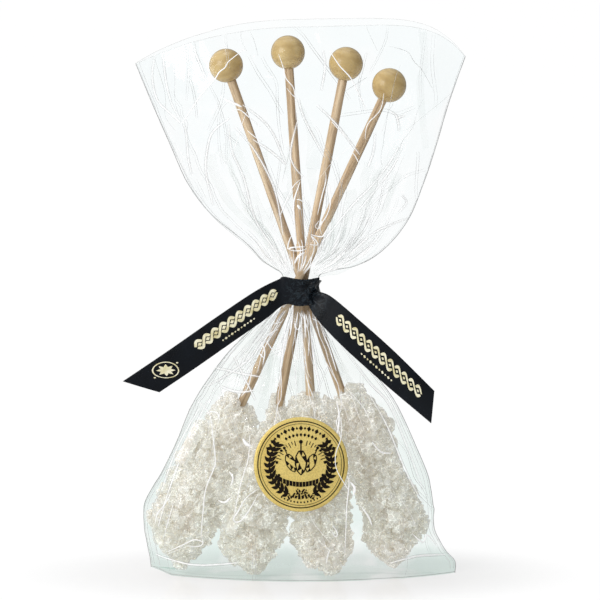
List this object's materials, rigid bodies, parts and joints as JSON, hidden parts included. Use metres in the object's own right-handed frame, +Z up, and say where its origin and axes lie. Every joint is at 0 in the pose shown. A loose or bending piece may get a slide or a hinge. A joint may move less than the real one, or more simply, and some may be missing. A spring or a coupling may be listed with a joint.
{
  "type": "pack of rock candy sticks",
  "caption": "Rock candy on wooden sticks with ball ends, stood in a clear film bag that a black satin ribbon ties at the neck, with a round gold label.",
  "frame": {"origin": "middle of the pack's bounding box, at the height of the surface that the bag stands on", "axes": "+Z up, from the base of the bag to its open rim; -Y towards the front, where the label and the knot are; +X to the right as seen from the front"},
  "size_m": [0.1104, 0.0409, 0.1799],
  "materials": {
    "film": "clear glossy film, crumpled and pleated at the neck",
    "sugar": "clear off-white sugar crystals with glints on their faces",
    "stick_wood": "plain light wood, matt",
    "ball_wood": "pale yellow varnished wood",
    "ribbon": "black satin ribbon with a pale gold printed ornament",
    "label": "satin gold paper with a dark brown printed ring and wreath"
  },
  "bodies": {
    "root": {"bag": "film", "stick_1": "stick_wood", "stick_2": "stick_wood", "stick_3": "stick_wood", "stick_4": "stick_wood", "ball_1": "ball_wood", "ball_2": "ball_wood", "ball_3": "ball_wood", "ball_4": "ball_wood", "candy_1": "sugar", "candy_2": "sugar", "candy_3": "sugar", "candy_4": "sugar", "ribbon_wrap": "ribbon", "ribbon_knot": "ribbon", "ribbon_tail_left": "ribbon", "ribbon_tail_right": "ribbon", "label": "label"}
  },
  "joints": []
}
